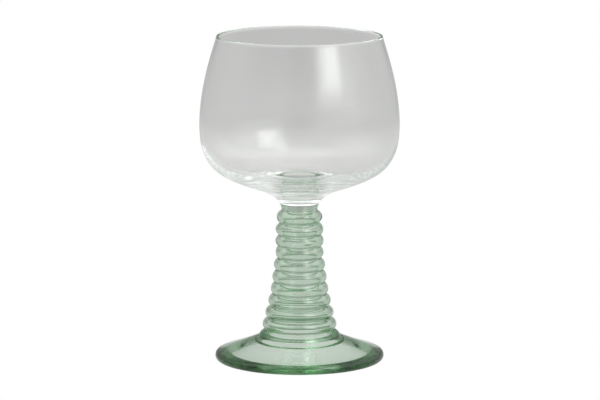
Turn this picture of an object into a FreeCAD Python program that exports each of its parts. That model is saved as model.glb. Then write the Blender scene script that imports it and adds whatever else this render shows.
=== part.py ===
import FreeCAD, Part
import os
import Sketcher

# Wine glass: a clear blown bowl on a green hollow stem built up of rings of
# glass, standing on a round green foot. Millimetres, +Z up, the origin in the
# middle of the foot's resting plane. Every piece is a body of revolution.

V = FreeCAD.Vector
doc = FreeCAD.newDocument("wine_glass")
sheet = doc.addObject("Spreadsheet::Sheet", "Sheet")
sheet_row = [1]


def put(alias, value):
    """One driving dimension in the sheet."""
    cell = "B%d" % sheet_row[0]
    sheet.set("A%d" % sheet_row[0], alias)
    sheet.set(cell, "%g" % value)
    sheet.setAlias(cell, alias)
    sheet_row[0] += 1


# Heights of the joints between the pieces.
SEAM_Z = 70.4
FOOT_Z = 10.7
put("seam_z", SEAM_Z)
put("foot_joint_z", FOOT_Z)
put("seam_r", 9.0)
put("neck_in_r", 6.3)
put("stem_mouth_r", 14.2)

# The bottoms of the grooves between the rings, from the neck down.
GROOVES = [
    (8.15, 67.0),
    (8.35, 61.5),
    (9.00, 56.1),
    (9.20, 51.1),
    (9.45, 45.7),
    (10.25, 40.4),
    (11.05, 34.9),
    (11.75, 29.6),
    (12.40, 24.1),
    (13.60, 18.8),
    (14.55, 13.5),
]

# The crest of every ring that stands between two grooves.
CRESTS = [
    (10.05, 64.3),
    (10.55, 58.6),
    (10.68, 53.9),
    (10.63, 48.3),
    (11.33, 43.0),
    (12.05, 37.5),
    (12.76, 32.1),
    (13.85, 26.8),
    (15.15, 21.3),
    (16.40, 16.1),
]

for n, (r, z) in enumerate(GROOVES):
    put("groove_%02d_r" % n, r)
    put("groove_%02d_z" % n, z)
for n, (r, z) in enumerate(CRESTS, 1):
    put("crest_%02d_r" % n, r)
    put("crest_%02d_z" % n, z)

# The stem is hollow and ridged inside too: the wall's thickness at a groove
# and at a crest.
put("wall", 1.5)
put("crest_wall", 1.9)
sheet.recompute()


def put_outline(prefix, points):
    """Radius and height of every named outline point, as sheet dimensions."""
    for name, r, z in points:
        if r:
            put("%s_%s_r" % (prefix, name), r)
        if z:
            put("%s_%s_z" % (prefix, name), z)
    sheet.recompute()


def value(expression):
    """The number that a sheet expression stands for."""
    names = {}
    for row in range(1, sheet_row[0]):
        names[sheet.get("A%d" % row)] = float(sheet.get("B%d" % row))
    total = 0.0
    for sign, term in terms(expression):
        product = sign
        for factor in term.split("*"):
            factor = factor.strip()
            product *= names[factor] if factor in names else float(factor)
        total += product
    return total


def terms(expression):
    """The signed terms of a plain sum such as a + b * c - d."""
    out = []
    for piece in expression.replace("-", "+ -").split("+"):
        piece = piece.strip()
        sign = 1.0
        if piece.startswith("-"):
            sign = -1.0
            piece = piece[1:]
        out.append((sign, piece))
    return out


def bound(expression):
    """The expression with the sheet named before every alias."""
    words = []
    for word in expression.split():
        plain = word in ("+", "-", "*") or word[0].isdigit()
        words.append(word if plain else "Sheet." + word)
    return " ".join(words)


class Outline:
    """A closed half section: lines and arcs between points given in the sheet."""

    def __init__(self, sketch):
        self.sketch = sketch
        self.count = 0

    def pin(self, geo, pos, point):
        """Fixes a point by its radius and its height."""
        sketch = self.sketch
        for kind, axis, expression in (
            ("DistanceX", -2, point[0]),
            ("DistanceY", -1, point[1]),
        ):
            if expression == "0":
                sketch.addConstraint(Sketcher.Constraint("PointOnObject", geo, pos, axis))
                continue
            number = value(expression)
            index = sketch.addConstraint(
                Sketcher.Constraint(kind, -1, 1, geo, pos, number)
            )
            self.count += 1
            name = "d%02d" % self.count
            sketch.renameConstraint(index, name)
            sketch.setExpression("Constraints." + name, bound(expression))

    def build(self, steps):
        """Steps are (point, None) for a line or (point, via) for an arc to it."""
        sketch = self.sketch
        ends = []
        start = steps[-1][0]
        for point, via in steps:
            a = V(value(start[0]), value(start[1]), 0)
            b = V(value(point[0]), value(point[1]), 0)
            if via is None:
                geo = sketch.addGeometry(Part.LineSegment(a, b), False)
                ends.append((geo, 1, 2))
            else:
                m = V(value(via[0]), value(via[1]), 0)
                turn = (m - a).cross(b - m).z
                if turn > 0:
                    geo = sketch.addGeometry(Part.Arc(a, m, b), False)
                    ends.append((geo, 1, 2))
                else:
                    geo = sketch.addGeometry(Part.Arc(b, m, a), False)
                    ends.append((geo, 2, 1))
                mark = sketch.addGeometry(Part.Point(m), True)
                sketch.addConstraint(
                    Sketcher.Constraint("PointOnObject", mark, 1, geo)
                )
                self.pin(mark, 1, via)
            start = point
        for n, (point, via) in enumerate(steps):
            geo, first, last = ends[n]
            after = ends[(n + 1) % len(ends)]
            sketch.addConstraint(
                Sketcher.Constraint("Coincident", geo, last, after[0], after[1])
            )
            self.pin(geo, last, point)


def plane(body, role):
    """One of the body's own origin planes."""
    for feature in body.Origin.OriginFeatures:
        if feature.Role == role:
            return feature
    raise ValueError(role)


def turned(name, steps, height="0"):
    """A body turned about the glass's axis, standing at the given height."""
    body = doc.addObject("PartDesign::Body", name)
    body.Label = name
    if height != "0":
        body.Placement = FreeCAD.Placement(V(0, 0, value(height)), FreeCAD.Rotation())
        body.setExpression("Placement.Base.z", bound(height))
    sketch = body.newObject("Sketcher::SketchObject", name + "_section")
    sketch.AttachmentSupport = [(plane(body, "XZ_Plane"), "")]
    sketch.MapMode = "FlatFace"
    Outline(sketch).build(steps)
    doc.recompute()
    turn = body.newObject("PartDesign::Revolution", name + "_turned")
    turn.Profile = sketch
    turn.ReferenceAxis = (sketch, ["V_Axis"])
    turn.Angle = 360.0
    sketch.Visibility = False
    body.Tip = turn
    doc.recompute()
    return body


# ---- The bowl: one clear piece of glass. The wall is thin, the base is thick
# and narrows to a short clear neck that sits on the top of the stem. Inside,
# the floor rises to a low dome in the middle. Heights are above the seam.
put_outline("bowl", [
    ("fillet", 11.2, 2.9),
    ("flare", 15.5, 5.36),
    ("cone", 24.0, 8.35),
    ("hip", 31.0, 11.25),
    ("hip_arc", 36.4, 14.4),
    ("belly", 40.2, 18.5),
    ("belly_arc", 43.25, 24.6),
    ("widest", 44.2, 33.6),
    ("side", 42.2, 53.3),
    ("lip_out", 36.55, 74.05),
    ("lip", 36.05, 74.6),
    ("lip_in", 35.5, 74.0),
    ("in_side", 41.1, 53.2),
    ("in_widest", 43.1, 33.6),
    ("in_belly_arc", 41.9, 25.0),
    ("in_belly", 39.0, 19.4),
    ("in_hip_arc", 35.4, 16.0),
    ("in_hip", 30.4, 13.3),
    ("in_dip", 20.0, 10.55),
    ("in_rise", 9.5, 11.4),
    ("in_dome", 5.5, 12.2),
    ("in_top", 1.2, 12.6),
])


def at(prefix, name):
    return ("%s_%s_r" % (prefix, name), "%s_%s_z" % (prefix, name))


turned("bowl", [
    (("0", "0"), None),
    (("seam_r", "0"), None),
    (at("bowl", "flare"), at("bowl", "fillet")),
    (at("bowl", "hip"), at("bowl", "cone")),
    (at("bowl", "belly"), at("bowl", "hip_arc")),
    (at("bowl", "widest"), at("bowl", "belly_arc")),
    (at("bowl", "lip_out"), at("bowl", "side")),
    (at("bowl", "lip_in"), at("bowl", "lip")),
    (at("bowl", "in_widest"), at("bowl", "in_side")),
    (at("bowl", "in_belly"), at("bowl", "in_belly_arc")),
    (at("bowl", "in_hip"), at("bowl", "in_hip_arc")),
    (at("bowl", "in_rise"), at("bowl", "in_dip")),
    (at("bowl", "in_top"), at("bowl", "in_dome")),
    (("0", "bowl_in_top_z"), None),
], "seam_z")

# ---- The neck: the short green collar between the bowl and the first ring.
# Heights are above the top groove.
put_outline("neck", [("waist", 8.0, 1.3)])
turned("neck", [
    (("groove_00_r - wall", "0"), None),
    (("groove_00_r", "0"), None),
    (("seam_r", "seam_z - groove_00_z"), at("neck", "waist")),
    (("neck_in_r", "seam_z - groove_00_z"), None),
], "groove_00_z")

# ---- The rings: each is one turn of glass, round outside and hollowed along
# the inside, fused to the next one at the groove. Each stands at the height
# of the groove below it.
for n in range(1, len(GROOVES)):
    up_r = "groove_%02d_r" % (n - 1)
    up_z = "groove_%02d_z" % (n - 1)
    low_r = "groove_%02d_r" % n
    low_z = "groove_%02d_z" % n
    rise = "%s - %s" % (up_z, low_z)
    crest_z = "crest_%02d_z - %s" % (n, low_z)
    turned("ring_%02d" % n, [
        ((low_r, "0"), None),
        ((up_r, rise), ("crest_%02d_r" % n, crest_z)),
        ((up_r + " - wall", rise), None),
        ((low_r + " - wall", "0"), ("crest_%02d_r - crest_wall" % n, crest_z)),
    ], low_z)

# ---- The lowest ring spreads into the foot.
put_outline("last", [("toe", 18.2, 0.0), ("round", 16.85, 1.98)])
last = len(GROOVES) - 1
last_r = "groove_%02d_r" % last
last_rise = "groove_%02d_z - foot_joint_z" % last
turned("ring_%02d" % (last + 1), [
    (("last_toe_r", "0"), None),
    ((last_r, last_rise), at("last", "round")),
    ((last_r + " - wall", last_rise), None),
    (("stem_mouth_r", "0"), None),
], "foot_joint_z")

# ---- The foot: a round disc, conical above, with a thick rounded edge and a
# dished underside; its middle is open to the hollow of the stem, with a faint
# channel round the mouth.
put_outline("foot", [
    ("land", 18.4, 10.7),
    ("slope", 27.0, 7.13),
    ("shoulder", 36.05, 4.1),
    ("edge", 37.5, 2.1),
    ("heel", 35.4, 0.0),
    ("rest", 31.0, 0.0),
    ("dish", 25.6, 2.75),
    ("brim", 19.6, 6.0),
    ("channel", 18.6, 6.4),
    ("throat", 17.6, 6.3),
    ("throat_arc", 15.9, 8.0),
])

turned("foot", [
    (("stem_mouth_r", "foot_joint_z"), at("foot", "throat_arc")),
    (("foot_land_r", "foot_joint_z"), None),
    (at("foot", "shoulder"), at("foot", "slope")),
    (("foot_heel_r", "0"), at("foot", "edge")),
    (("foot_rest_r", "0"), None),
    (at("foot", "brim"), at("foot", "dish")),
    (at("foot", "throat"), at("foot", "channel")),
])

# ---- Checks, then one STEP file for every piece.
doc.recompute()
for thing in doc.Objects:
    bad = [word for word in thing.State if word in ("Invalid", "Error")]
    if bad:
        raise RuntimeError("%s is %s" % (thing.Name, bad))

bodies = [thing for thing in doc.Objects if thing.isDerivedFrom("PartDesign::Body")]
for body in bodies:
    if body.Shape.isNull() or not body.Shape.isValid() or len(body.Shape.Solids) != 1:
        raise RuntimeError("%s has no valid solid" % body.Label)

os.makedirs("parts", exist_ok=True)
for body in bodies:
    body.Shape.exportStep("parts/%s.step" % body.Label)
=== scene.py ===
import math

import bmesh
import bpy
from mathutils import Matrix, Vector


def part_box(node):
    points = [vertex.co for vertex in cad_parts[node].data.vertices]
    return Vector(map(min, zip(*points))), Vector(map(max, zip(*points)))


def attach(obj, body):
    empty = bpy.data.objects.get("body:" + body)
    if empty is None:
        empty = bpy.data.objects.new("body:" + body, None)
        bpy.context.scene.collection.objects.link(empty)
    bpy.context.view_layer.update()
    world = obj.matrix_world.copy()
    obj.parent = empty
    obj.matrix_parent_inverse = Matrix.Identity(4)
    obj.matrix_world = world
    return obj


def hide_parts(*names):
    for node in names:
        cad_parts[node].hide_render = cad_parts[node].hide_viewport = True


# A green-stemmed wine glass. Metres; outlines are written in millimetres.

MM = 0.001
TURNS = 360  # faces round each body

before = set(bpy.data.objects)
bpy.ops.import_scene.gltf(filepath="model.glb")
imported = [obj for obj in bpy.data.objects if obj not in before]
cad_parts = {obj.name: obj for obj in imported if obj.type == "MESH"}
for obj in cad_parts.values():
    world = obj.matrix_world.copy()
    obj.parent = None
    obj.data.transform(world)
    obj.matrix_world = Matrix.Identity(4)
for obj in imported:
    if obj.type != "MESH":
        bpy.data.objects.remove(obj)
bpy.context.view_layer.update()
scene = bpy.context.scene

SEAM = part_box("bowl")[0].z / MM  # clear glass above it, green glass below
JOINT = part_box("foot")[1].z / MM  # the stem stands on the foot here

# The glasses overlap by a hair at the seam and the joint, as fused glass has no gap.
OVERLAP = 0.06


# ---- Outlines: pairs of radius and height -------------------------------


def arc(a, m, b, count):
    """Points along the circle through a, m and b, after a, up to b."""
    ax, az = a
    mx, mz = m
    bx, bz = b
    d = 2 * (ax * (mz - bz) + mx * (bz - az) + bx * (az - mz))
    aa, mm, bb = ax * ax + az * az, mx * mx + mz * mz, bx * bx + bz * bz
    cx = (aa * (mz - bz) + mm * (bz - az) + bb * (az - mz)) / d
    cz = (aa * (bx - mx) + mm * (ax - bx) + bb * (mx - ax)) / d
    radius = math.hypot(ax - cx, az - cz)
    start = math.atan2(az - cz, ax - cx)
    middle = math.atan2(mz - cz, mx - cx)
    end = math.atan2(bz - cz, bx - cx)
    full = 2 * math.pi
    sweep = (end - start) % full
    if (middle - start) % full > sweep:
        sweep -= full
    out = []
    for n in range(1, count + 1):
        t = start + sweep * n / count
        out.append((cx + radius * math.cos(t), cz + radius * math.sin(t)))
    return out


def raised(points, lift):
    return [(r, z + lift) for r, z in points]


def smooth(points, count):
    """A soft curve through the points, for stretches with no corner."""
    ends = [Vector((r, z)) for r, z in points]
    ends = [2 * ends[0] - ends[1]] + ends + [2 * ends[-1] - ends[-2]]
    out = []
    for i in range(1, len(ends) - 2):
        p0, p1, p2, p3 = ends[i - 1 : i + 3]
        t1 = (p1 - p0).length ** 0.5
        t2 = t1 + (p2 - p1).length ** 0.5
        t3 = t2 + (p3 - p2).length ** 0.5
        for k in range(1, count + 1):
            t = t1 + (t2 - t1) * k / count
            a1 = p0 * ((t1 - t) / t1) + p1 * (t / t1)
            a2 = p1 * ((t2 - t) / (t2 - t1)) + p2 * ((t - t1) / (t2 - t1))
            a3 = p2 * ((t3 - t) / (t3 - t2)) + p3 * ((t - t2) / (t3 - t2))
            b1 = a1 * ((t2 - t) / t2) + a2 * (t / t2)
            b2 = a2 * ((t3 - t) / (t3 - t1)) + a3 * ((t - t1) / (t3 - t1))
            c = b1 * ((t2 - t) / (t2 - t1)) + b2 * ((t - t1) / (t2 - t1))
            out.append((c.x, c.y))
    return out


def lathe(name, outline, wobble=None):
    """A closed body of revolution from an outline on the axis or all round off it."""
    verts, rings = [], []
    for r, z in outline:
        if r < 1e-6:
            rings.append([len(verts)])
            verts.append((0, 0, z * MM))
            continue
        ring = []
        for s in range(TURNS):
            t = 2 * math.pi * s / TURNS
            dr, dz = wobble(r, z, t) if wobble else (0, 0)
            ring.append(len(verts))
            verts.append(
                ((r + dr) * math.cos(t) * MM, (r + dr) * math.sin(t) * MM, (z + dz) * MM)
            )
        rings.append(ring)
    if len(rings[0]) > 1:
        rings.append(rings[0])
    faces = []
    for a, b in zip(rings, rings[1:]):
        for s in range(TURNS):
            t = (s + 1) % TURNS
            if len(a) == 1:
                faces.append((a[0], b[s], b[t]))
            elif len(b) == 1:
                faces.append((a[s], b[0], a[t]))
            else:
                faces.append((a[s], b[s], b[t], a[t]))
    mesh = bpy.data.meshes.new(name)
    mesh.from_pydata(verts, [], faces)
    mesh.update()
    work = bmesh.new()
    work.from_mesh(mesh)
    bmesh.ops.recalc_face_normals(work, faces=work.faces)
    work.to_mesh(mesh)
    work.free()
    for face in mesh.polygons:
        face.use_smooth = True
    piece = bpy.data.objects.new(name, mesh)
    scene.collection.objects.link(piece)
    return piece


# ---- The bowl -----------------------------------------------------------

# Heights are above the seam. The clear base closes the hollow stem, and the
# floor inside rises to a low dome in the middle.
bowl_under = [
    (8.9, 0.0),
    (9.35, 0.75),
    (11.2, 2.9),
    (15.5, 5.36),
    (24.0, 8.35),
    (31.0, 11.25),
    (36.4, 14.4),
    (40.2, 18.5),
    (43.0, 24.6),
    (44.15, 33.6),
    (43.75, 43.0),
    (42.2, 53.3),
    (39.7, 63.6),
    (36.62, 74.0),
]
bowl_lip = [(36.62, 74.0), (36.05, 74.55), (35.48, 74.0)]
bowl_inside = [
    (35.48, 74.0),
    (38.6, 63.6),
    (41.1, 53.2),
    (42.65, 43.0),
    (43.05, 33.6),
    (41.9, 25.0),
    (39.0, 19.4),
    (35.4, 16.0),
    (30.4, 13.3),
    (25.0, 11.43),
    (20.0, 10.55),
    (14.5, 10.55),
    (9.5, 11.4),
    (4.75, 12.3),
    (0.0, 12.6),
    (-4.75, 12.3),
]
STEPS = 8
bowl_outline = [(r, -OVERLAP) for r in (0.0, 4.0, 6.5, 8.4)]
bowl_outline += [bowl_under[0]] + smooth(bowl_under, STEPS)
bowl_outline += arc(*bowl_lip, 10)
# The last point, past the axis, only levels the dome's top, so its stretch is left off.
bowl_outline += smooth(bowl_inside, STEPS)[:-STEPS]
bowl_outline[-1] = (0.0, bowl_outline[-1][1])
bowl_outline = raised(bowl_outline, SEAM)


BOWL_UNEVEN = 0.05
UNEVEN_FROM = 12.0
UNEVEN_RISE = 62.0


def bowl_wobble(r, z, t):
    """Blown glass is never quite round or level, least of all at the rim."""
    high = max(0.0, (z - SEAM - UNEVEN_FROM) / UNEVEN_RISE)
    return BOWL_UNEVEN * high * math.cos(2 * t + 0.6), BOWL_UNEVEN * high * math.cos(2 * t + 2.0)


bowl = lathe("bowl_glass", bowl_outline, bowl_wobble)

# ---- The stem and its rings ----------------------------------------------

grooves = [
    (8.15, 67.0),
    (8.35, 61.5),
    (9.00, 56.1),
    (9.20, 51.1),
    (9.45, 45.7),
    (10.25, 40.4),
    (11.05, 34.9),
    (11.75, 29.6),
    (12.40, 24.1),
    (13.60, 18.8),
    (14.55, 13.5),
]
crests = [
    (10.05, 64.3),
    (10.55, 58.6),
    (10.68, 53.9),
    (10.63, 48.3),
    (11.33, 43.0),
    (12.05, 37.5),
    (12.76, 32.1),
    (13.85, 26.8),
    (15.15, 21.3),
    (16.40, 16.1),
]
WALL = 1.5  # at a groove
BULGE_WALL = 1.9  # at a crest
COLLAR_TOP = SEAM - 0.1
TOE = 18.2
MOUTH = 14.3
stem_outline = [(6.4, SEAM + OVERLAP), (8.5, SEAM + OVERLAP), (8.8, COLLAR_TOP)]
stem_outline += smooth([(8.8, COLLAR_TOP), (8.1, 68.6), (7.98, 67.8), grooves[0]], 6)
for upper, lower, crest in zip(grooves, grooves[1:], crests):
    stem_outline += arc(upper, crest, lower, 20)
stem_outline += arc(grooves[-1], (16.85, 12.68), (TOE, JOINT), 10)
stem_outline += [(TOE, JOINT - OVERLAP), (MOUTH, JOINT - OVERLAP)]
hollow = [(MOUTH, JOINT - OVERLAP), (grooves[-1][0] - WALL, grooves[-1][1])]
for (groove_r, groove_z), (crest_r, crest_z) in reversed(list(zip(grooves, crests))):
    hollow += [(crest_r - BULGE_WALL, crest_z), (groove_r - WALL, groove_z)]
hollow += [(6.3, COLLAR_TOP)]
stem_outline += smooth(hollow, STEPS)

WAVY_FROM = 12.5
WAVY_TO = SEAM - 1.5
TOP_RINGS = 45.0  # above this the rings get more and more uneven


def stem_wobble(r, z, t):
    """Rings made by hand run a little uneven, most of all near the top."""
    if z < WAVY_FROM or z > WAVY_TO:
        return 0, 0
    fade = min(1.0, (z - WAVY_FROM) / 4, (WAVY_TO - z) / 3)
    fade *= 0.3 if z < TOP_RINGS else min(1.0, 0.3 + (z - TOP_RINGS) / 8)
    turn = z * 0.9
    dr = 0.05 * math.sin(2 * t + turn) + 0.03 * math.sin(5 * t - 1.7 * turn)
    dz = 0.10 * math.sin(t + 0.8 * turn) + 0.06 * math.sin(3 * t - turn)
    return dr * fade, dz * fade


stem = lathe("stem_glass", stem_outline, stem_wobble)

# ---- The foot ------------------------------------------------------------

foot_outline = [(14.2, JOINT), (18.4, JOINT)]
foot_outline += smooth([(18.4, JOINT), (22.0, 9.1), (27.0, 7.13), (32.0, 5.35), (36.05, 4.1)], 6)
foot_outline += arc((36.05, 4.1), (37.5, 2.1), (35.4, 0.0), 18)
foot_outline += [(33.5, 0.0)]
foot_outline += smooth([(30.8, 0.0), (29.4, 0.45), (26.0, 2.3), (21.8, 4.8), (19.6, 6.0)], 5)
foot_outline += arc((19.6, 6.0), (18.6, 6.4), (17.6, 6.3), 8)
foot_outline += arc((17.6, 6.3), (15.9, 8.0), (14.2, JOINT), 10)[:-1]
foot = lathe("foot_glass", foot_outline)

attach(bowl, "root")
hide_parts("bowl")
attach(stem, "root")
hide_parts("neck", *["ring_%02d" % n for n in range(1, len(grooves) + 1)])
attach(foot, "root")
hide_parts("foot")


# ---- Glass --------------------------------------------------------------


IOR = 1.52
GREEN = (0.07, 0.51, 0.11)
# How uneven the surface is: the pattern's stretch, its scale and its height in mm.
BOWL_WAVES = [((1, 1, 1), 22, 0.03), ((1, 1, 14), 40, 0.002)]
GREEN_WAVES = [((1, 1, 1), 40, 0.003), ((0.3, 0.3, 6), 60, 0.002)]


def glass(name, tint, strength, waves):
    """Clear or coloured glass: the colour comes from the glass's thickness."""
    material = bpy.data.materials.new(name)
    material.use_nodes = True
    nodes, links = material.node_tree.nodes, material.node_tree.links
    nodes.clear()
    out = nodes.new("ShaderNodeOutputMaterial")
    surface = nodes.new("ShaderNodeBsdfPrincipled")
    surface.inputs["Base Color"].default_value = (1, 1, 1, 1)
    surface.inputs["Transmission Weight"].default_value = 1.0
    surface.inputs["IOR"].default_value = IOR
    surface.inputs["Roughness"].default_value = 0.0
    links.new(surface.outputs["BSDF"], out.inputs["Surface"])
    body = nodes.new("ShaderNodeVolumeAbsorption")
    body.inputs["Color"].default_value = (*tint, 1)
    body.inputs["Density"].default_value = strength
    links.new(body.outputs["Volume"], out.inputs["Volume"])

    place = nodes.new("ShaderNodeTexCoord")
    height = None
    for stretch, scale, rise in waves:
        mapping = nodes.new("ShaderNodeMapping")
        mapping.inputs["Scale"].default_value = stretch
        links.new(place.outputs["Object"], mapping.inputs["Vector"])
        noise = nodes.new("ShaderNodeTexNoise")
        noise.inputs["Scale"].default_value = scale
        noise.inputs["Detail"].default_value = 2.0
        noise.inputs["Roughness"].default_value = 0.45
        links.new(mapping.outputs["Vector"], noise.inputs["Vector"])
        part = nodes.new("ShaderNodeMath")
        part.operation = "MULTIPLY"
        part.inputs[1].default_value = rise
        links.new(noise.outputs["Fac"], part.inputs[0])
        if height is None:
            height = part
        else:
            both = nodes.new("ShaderNodeMath")
            both.operation = "ADD"
            links.new(height.outputs["Value"], both.inputs[0])
            links.new(part.outputs["Value"], both.inputs[1])
            height = both
    bump = nodes.new("ShaderNodeBump")
    bump.inputs["Strength"].default_value = 1.0
    bump.inputs["Distance"].default_value = MM
    links.new(height.outputs["Value"], bump.inputs["Height"])
    links.new(bump.outputs["Normal"], surface.inputs["Normal"])
    return material


# The foot's strength is its own, set to fit the look: the stem's makes it too dark.
bowl.data.materials.append(glass("clear_glass", (0.70, 0.80, 0.72), 4.0, BOWL_WAVES))
stem.data.materials.append(glass("green_glass_stem", GREEN, 106.0, GREEN_WAVES))
foot.data.materials.append(glass("green_glass_foot", GREEN, 58.0, GREEN_WAVES))

# ---- Floor and light -------------------------------------------------------


def camera_and_rest(nodes, links, direct, indirect):
    """Shows one shader to the camera and another to everything else."""
    path = nodes.new("ShaderNodeLightPath")
    mix = nodes.new("ShaderNodeMixShader")
    links.new(path.outputs["Is Camera Ray"], mix.inputs[0])
    links.new(indirect, mix.inputs[1])
    links.new(direct, mix.inputs[2])
    return mix.outputs[0]


FLOOR_HALF = 6.0
FLOOR_DROP = 0.0003  # keeps the floor off the foot's underside
FLOOR_NEAR = (0.25, 0.69)  # distance from the glass, and the light from there
FLOOR_FAR = (1.2, 0.50)


def floor_plane():
    """A white floor to the camera; to the glass a grey floor that glows, with a painted pool of
    light brightest near the glass.
    """
    mesh = bpy.data.meshes.new("floor")
    s = FLOOR_HALF
    mesh.from_pydata([(-s, -s, 0), (s, -s, 0), (s, s, 0), (-s, s, 0)], [], [(0, 1, 2, 3)])
    floor = bpy.data.objects.new("floor", mesh)
    scene.collection.objects.link(floor)
    floor.location.z = -FLOOR_DROP
    material = bpy.data.materials.new("floor")
    material.use_nodes = True
    nodes, links = material.node_tree.nodes, material.node_tree.links
    nodes.clear()
    out = nodes.new("ShaderNodeOutputMaterial")
    pale = nodes.new("ShaderNodeEmission")
    pale.inputs["Strength"].default_value = 1.0
    grey = nodes.new("ShaderNodeEmission")
    grey.inputs["Color"].default_value = (0.99, 1.0, 0.985, 1)
    spot = nodes.new("ShaderNodeTexCoord")
    reach = nodes.new("ShaderNodeVectorMath")
    reach.operation = "LENGTH"
    links.new(spot.outputs["Object"], reach.inputs[0])
    # Painted pool of light: the floor's glow is brightest near the glass and dims with distance.
    painted_light_pool = nodes.new("ShaderNodeMapRange")
    painted_light_pool.interpolation_type = "SMOOTHSTEP"
    painted_light_pool.inputs["From Min"].default_value = FLOOR_NEAR[0]
    painted_light_pool.inputs["From Max"].default_value = FLOOR_FAR[0]
    painted_light_pool.inputs["To Min"].default_value = FLOOR_NEAR[1]
    painted_light_pool.inputs["To Max"].default_value = FLOOR_FAR[1]
    links.new(reach.outputs["Value"], painted_light_pool.inputs["Value"])
    links.new(painted_light_pool.outputs["Result"], grey.inputs["Strength"])
    both = camera_and_rest(nodes, links, pale.outputs[0], grey.outputs[0])
    links.new(both, out.inputs["Surface"])
    mesh.materials.append(material)


floor_plane()

world = bpy.data.worlds.new("studio")
scene.world = world
world.use_nodes = True
nodes, links = world.node_tree.nodes, world.node_tree.links
nodes.clear()


def number(operation, *values):
    """A maths node; each value is a number or a socket."""
    node = nodes.new("ShaderNodeMath")
    node.operation = operation
    for n, v in enumerate(values):
        if isinstance(v, (int, float)):
            node.inputs[n].default_value = v
        else:
            links.new(v, node.inputs[n])
    return node.outputs[0]


def ramp(v, low, high):
    """0 below low, 1 above high, and a soft rise between."""
    node = nodes.new("ShaderNodeMapRange")
    node.interpolation_type = "SMOOTHSTEP"
    links.new(v, node.inputs["Value"])
    node.inputs["From Min"].default_value = low
    node.inputs["From Max"].default_value = high
    return node.outputs["Result"]


where = nodes.new("ShaderNodeTexCoord")
split = nodes.new("ShaderNodeSeparateXYZ")
links.new(where.outputs["Generated"], split.inputs[0])
dx, dy, dz = split.outputs[0], split.outputs[1], split.outputs[2]
DEGREES = 57.29578  # in a radian
# Azimuth is 0 towards the camera and 90 to its right; elevation is 0 at the floor's level.
azimuth = number("MULTIPLY", number("ARCTAN2", dx, number("MULTIPLY", dy, -1.0)), DEGREES)
elevation = number("MULTIPLY", number("ARCSINE", dz), DEGREES)


def soft_box(az, el, wide, tall, edge, power):
    """A soft-edged patch of light, or of shade, sized in degrees round the glass."""
    side = number("ABSOLUTE", number("SUBTRACT", azimuth, az))
    side = number("MINIMUM", side, number("SUBTRACT", 360.0, side))
    rise = number("ABSOLUTE", number("SUBTRACT", elevation, el))
    across = number("SUBTRACT", 1.0, ramp(side, wide / 2 - edge, wide / 2 + edge))
    up = number("SUBTRACT", 1.0, ramp(rise, tall / 2 - edge, tall / 2 + edge))
    return number("MULTIPLY", number("MULTIPLY", across, up), power)


ROOM = 0.48
OVERHEAD = 1.4
level = number("ADD", ROOM, number("MULTIPLY", ramp(elevation, 50.0, 80.0), OVERHEAD))
for light in (
    (38, 40, 30, 56, 7, 1.6),  # the window on the bowl's right
    (56, 36, 58, 56, 24, 1.2),  # its glow to the right
    (44, 24, 24, 16, 8, 1.9),  # a brighter patch low in it
    (54, 43, 22, 9, 5, 3.0),  # a bright strip in it, the spot on the bowl's lower left
    (-95, 50, 60, 60, 28, 1.0),  # left fill
    (112, 50, 60, 60, 28, 0.9),  # right fill
    (3, 14, 34, 50, 12, -0.26),  # shade on the camera's side
    (180, 10, 70, 20, 14, -0.12),  # shade behind the glass
):
    level = number("ADD", level, soft_box(*light))
studio = nodes.new("ShaderNodeBackground")
studio.inputs["Color"].default_value = (0.985, 1.0, 0.985, 1)
links.new(level, studio.inputs["Strength"])
plain = nodes.new("ShaderNodeBackground")
plain.inputs["Color"].default_value = (1, 1, 1, 1)
plain.inputs["Strength"].default_value = 1.0
world_out = nodes.new("ShaderNodeOutputWorld")
links.new(
    camera_and_rest(nodes, links, plain.outputs[0], studio.outputs[0]),
    world_out.inputs["Surface"],
)

# ---- Camera ---------------------------------------------------------------

# It stands 1.66 m in front and looks about nine degrees down at the glass's middle.
PHOTO_WIDE = 600
aim = Vector((0, 0, 0.0725))
eye = Vector((0, -1.66443, 0.3456))
lens = bpy.data.cameras.new("camera")
camera = bpy.data.objects.new("camera", lens)
scene.collection.objects.link(camera)
camera.location = eye
camera.rotation_mode = "QUATERNION"
camera.rotation_quaternion = (aim - eye).to_track_quat("-Z", "Y")
lens.sensor_width = 36.0
lens.lens = 228.7
lens.clip_start = 0.05
lens.shift_x = 0.5 / PHOTO_WIDE
lens.shift_y = -2.0 / PHOTO_WIDE
scene.camera = camera

# Light runs a long way inside the stem and the foot before it comes out.
BOUNCES = 512
scene.view_settings.view_transform = "Standard"
scene.cycles.max_bounces = BOUNCES
scene.cycles.transmission_bounces = BOUNCES
scene.cycles.glossy_bounces = BOUNCES
scene.cycles.use_denoising = True
